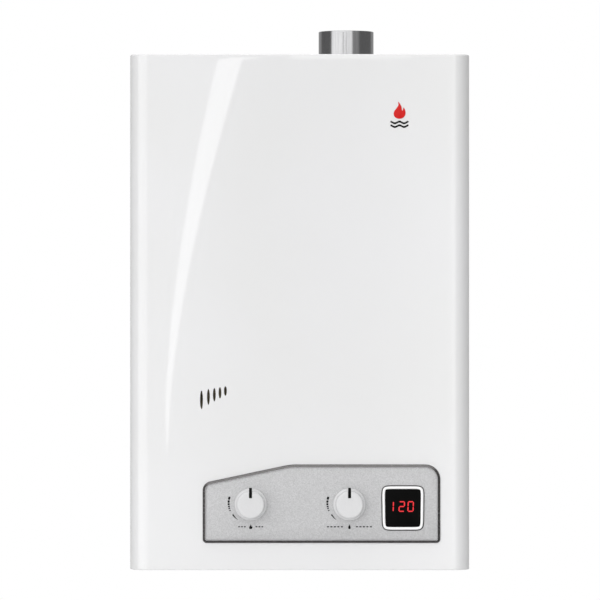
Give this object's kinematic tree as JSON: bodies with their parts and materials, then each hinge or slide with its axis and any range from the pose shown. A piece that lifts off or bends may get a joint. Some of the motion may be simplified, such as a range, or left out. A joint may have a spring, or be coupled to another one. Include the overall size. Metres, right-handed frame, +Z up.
{
  "type": "gas water heater",
  "caption": "Wall-hung gas water heater: flat white case with a flue collar on top, a silver control panel with knobs and a red digital display, and its burner, fan and pipework inside",
  "frame": {"origin": "centre of the back plate's wall face, at half the case height", "axes": "+Z up along the case height, +Y into the wall, +X to the right when facing the front"},
  "size_m": [0.352, 0.177, 0.5625],
  "materials": {
    "white_enamel": "glossy white enamel on sheet steel",
    "silver_panel": "fine-grained silver plastic",
    "dark_trim": "bevelled grey metallic trim",
    "black_print": "printed black ink",
    "knob_white": "satin white plastic",
    "bezel_white": "glossy white plastic",
    "display_black": "glossy black display lens",
    "digit_red": "lit red display segments",
    "badge_red": "printed red and black sign",
    "galvanised": "galvanised sheet steel",
    "stainless": "stainless steel",
    "zinc_screw": "zinc-plated steel",
    "copper": "bare copper",
    "brass": "machined brass",
    "cast_aluminium": "cast aluminium",
    "black_plastic": "black plastic",
    "grey_plastic": "grey plastic",
    "circuit_board": "green circuit board with parts",
    "mica": "mica window pane",
    "ceramic": "glazed ceramic with a steel wire",
    "fibre_gasket": "fibre gasket",
    "clear_tube": "silicone tube"
  },
  "bodies": {
    "chassis": {"back_plate": "galvanised", "top_panel": "white_enamel", "bottom_panel": "galvanised", "flue_collar": "stainless", "flue_gasket": "fibre_gasket", "fan_housing": "galvanised", "fan_motor": "grey_plastic", "fan_bearings": "brass", "exhaust_hood": "galvanised", "heat_exchanger_shell": "copper", "heat_exchanger_fins": "copper", "heat_exchanger_tubes": "copper", "combustion_chamber": "stainless", "viewing_window": "mica", "burner_bars": "stainless", "gas_manifold": "cast_aluminium", "gas_injectors": "brass", "gas_pipe": "zinc_screw", "gas_valve": "cast_aluminium", "gas_solenoid": "grey_plastic", "water_valve": "brass", "flow_sensor": "black_plastic", "relief_valve": "brass", "cold_pipe": "copper", "hot_pipe": "copper", "hot_outlet_fitting": "brass", "connection_nuts": "brass", "ignition_electrode": "ceramic", "flame_sensor": "ceramic", "igniter_module": "black_plastic", "control_box": "grey_plastic", "control_box_lid": "grey_plastic", "control_board": "circuit_board", "air_pressure_switch": "cast_aluminium", "pressure_tube": "clear_tube", "overheat_thermostat": "stainless", "outlet_temperature_sensor": "grey_plastic", "wiring_harness": "black_plastic", "cable_gland": "black_plastic", "chassis_screws": "zinc_screw"},
    "cover": {"front_cover": "white_enamel", "control_panel": "silver_panel", "panel_trim": "dark_trim", "scale_marks": "black_print", "panel_pictograms": "black_print", "display_bezel": "bezel_white", "display_lens": "display_black", "display_digits": "digit_red", "display_board": "circuit_board", "badge": "badge_red", "cover_screws": "zinc_screw"},
    "gas_control": {"gas_knob": "knob_white", "gas_knob_pointer": "black_print"},
    "temperature_control": {"temperature_knob": "knob_white", "temperature_knob_pointer": "black_print"},
    "gas_plug": {"gas_spindle": "brass"},
    "water_plug": {"water_spindle": "brass"},
    "fan_rotor": {"fan_impeller": "stainless", "fan_shaft": "stainless"},
    "turbine": {"flow_turbine": "bezel_white"}
  },
  "joints": [
    {"name": "front_cover_pull", "type": "slide", "parent": "chassis", "child": "cover", "axis": [0, -1, 0], "range_m": [0, 0.2]},
    {"name": "gas_spindle_turn", "type": "hinge", "parent": "chassis", "child": "gas_plug", "pos_m": [-0.0507, -0.11, -0.1988], "axis": [0, -1, 0], "range_deg": [0, 135]},
    {"name": "water_spindle_turn", "type": "hinge", "parent": "chassis", "child": "water_plug", "pos_m": [0.0514, -0.11, -0.1988], "axis": [0, -1, 0], "range_deg": [0, 135]},
    {"name": "gas_knob_turn", "type": "hinge", "parent": "cover", "child": "gas_control", "pos_m": [-0.0507, -0.17, -0.1988], "axis": [0, -1, 0], "range_deg": [0, 135]},
    {"name": "temperature_knob_turn", "type": "hinge", "parent": "cover", "child": "temperature_control", "pos_m": [0.0514, -0.17, -0.1988], "axis": [0, -1, 0], "range_deg": [0, 135]},
    {"name": "fan_spin", "type": "hinge", "parent": "chassis", "child": "fan_rotor", "pos_m": [0.001, -0.07, 0.199], "axis": [0, -1, 0], "continuous": true},
    {"name": "flow_turbine_spin", "type": "hinge", "parent": "chassis", "child": "turbine", "pos_m": [0.146, -0.075, -0.099], "axis": [0, 0, 1], "continuous": true}
  ],
  "couplings": [
    {"joint": "gas_knob_turn", "follows": "gas_spindle_turn", "ratio": 1},
    {"joint": "temperature_knob_turn", "follows": "water_spindle_turn", "ratio": 1}
  ]
}
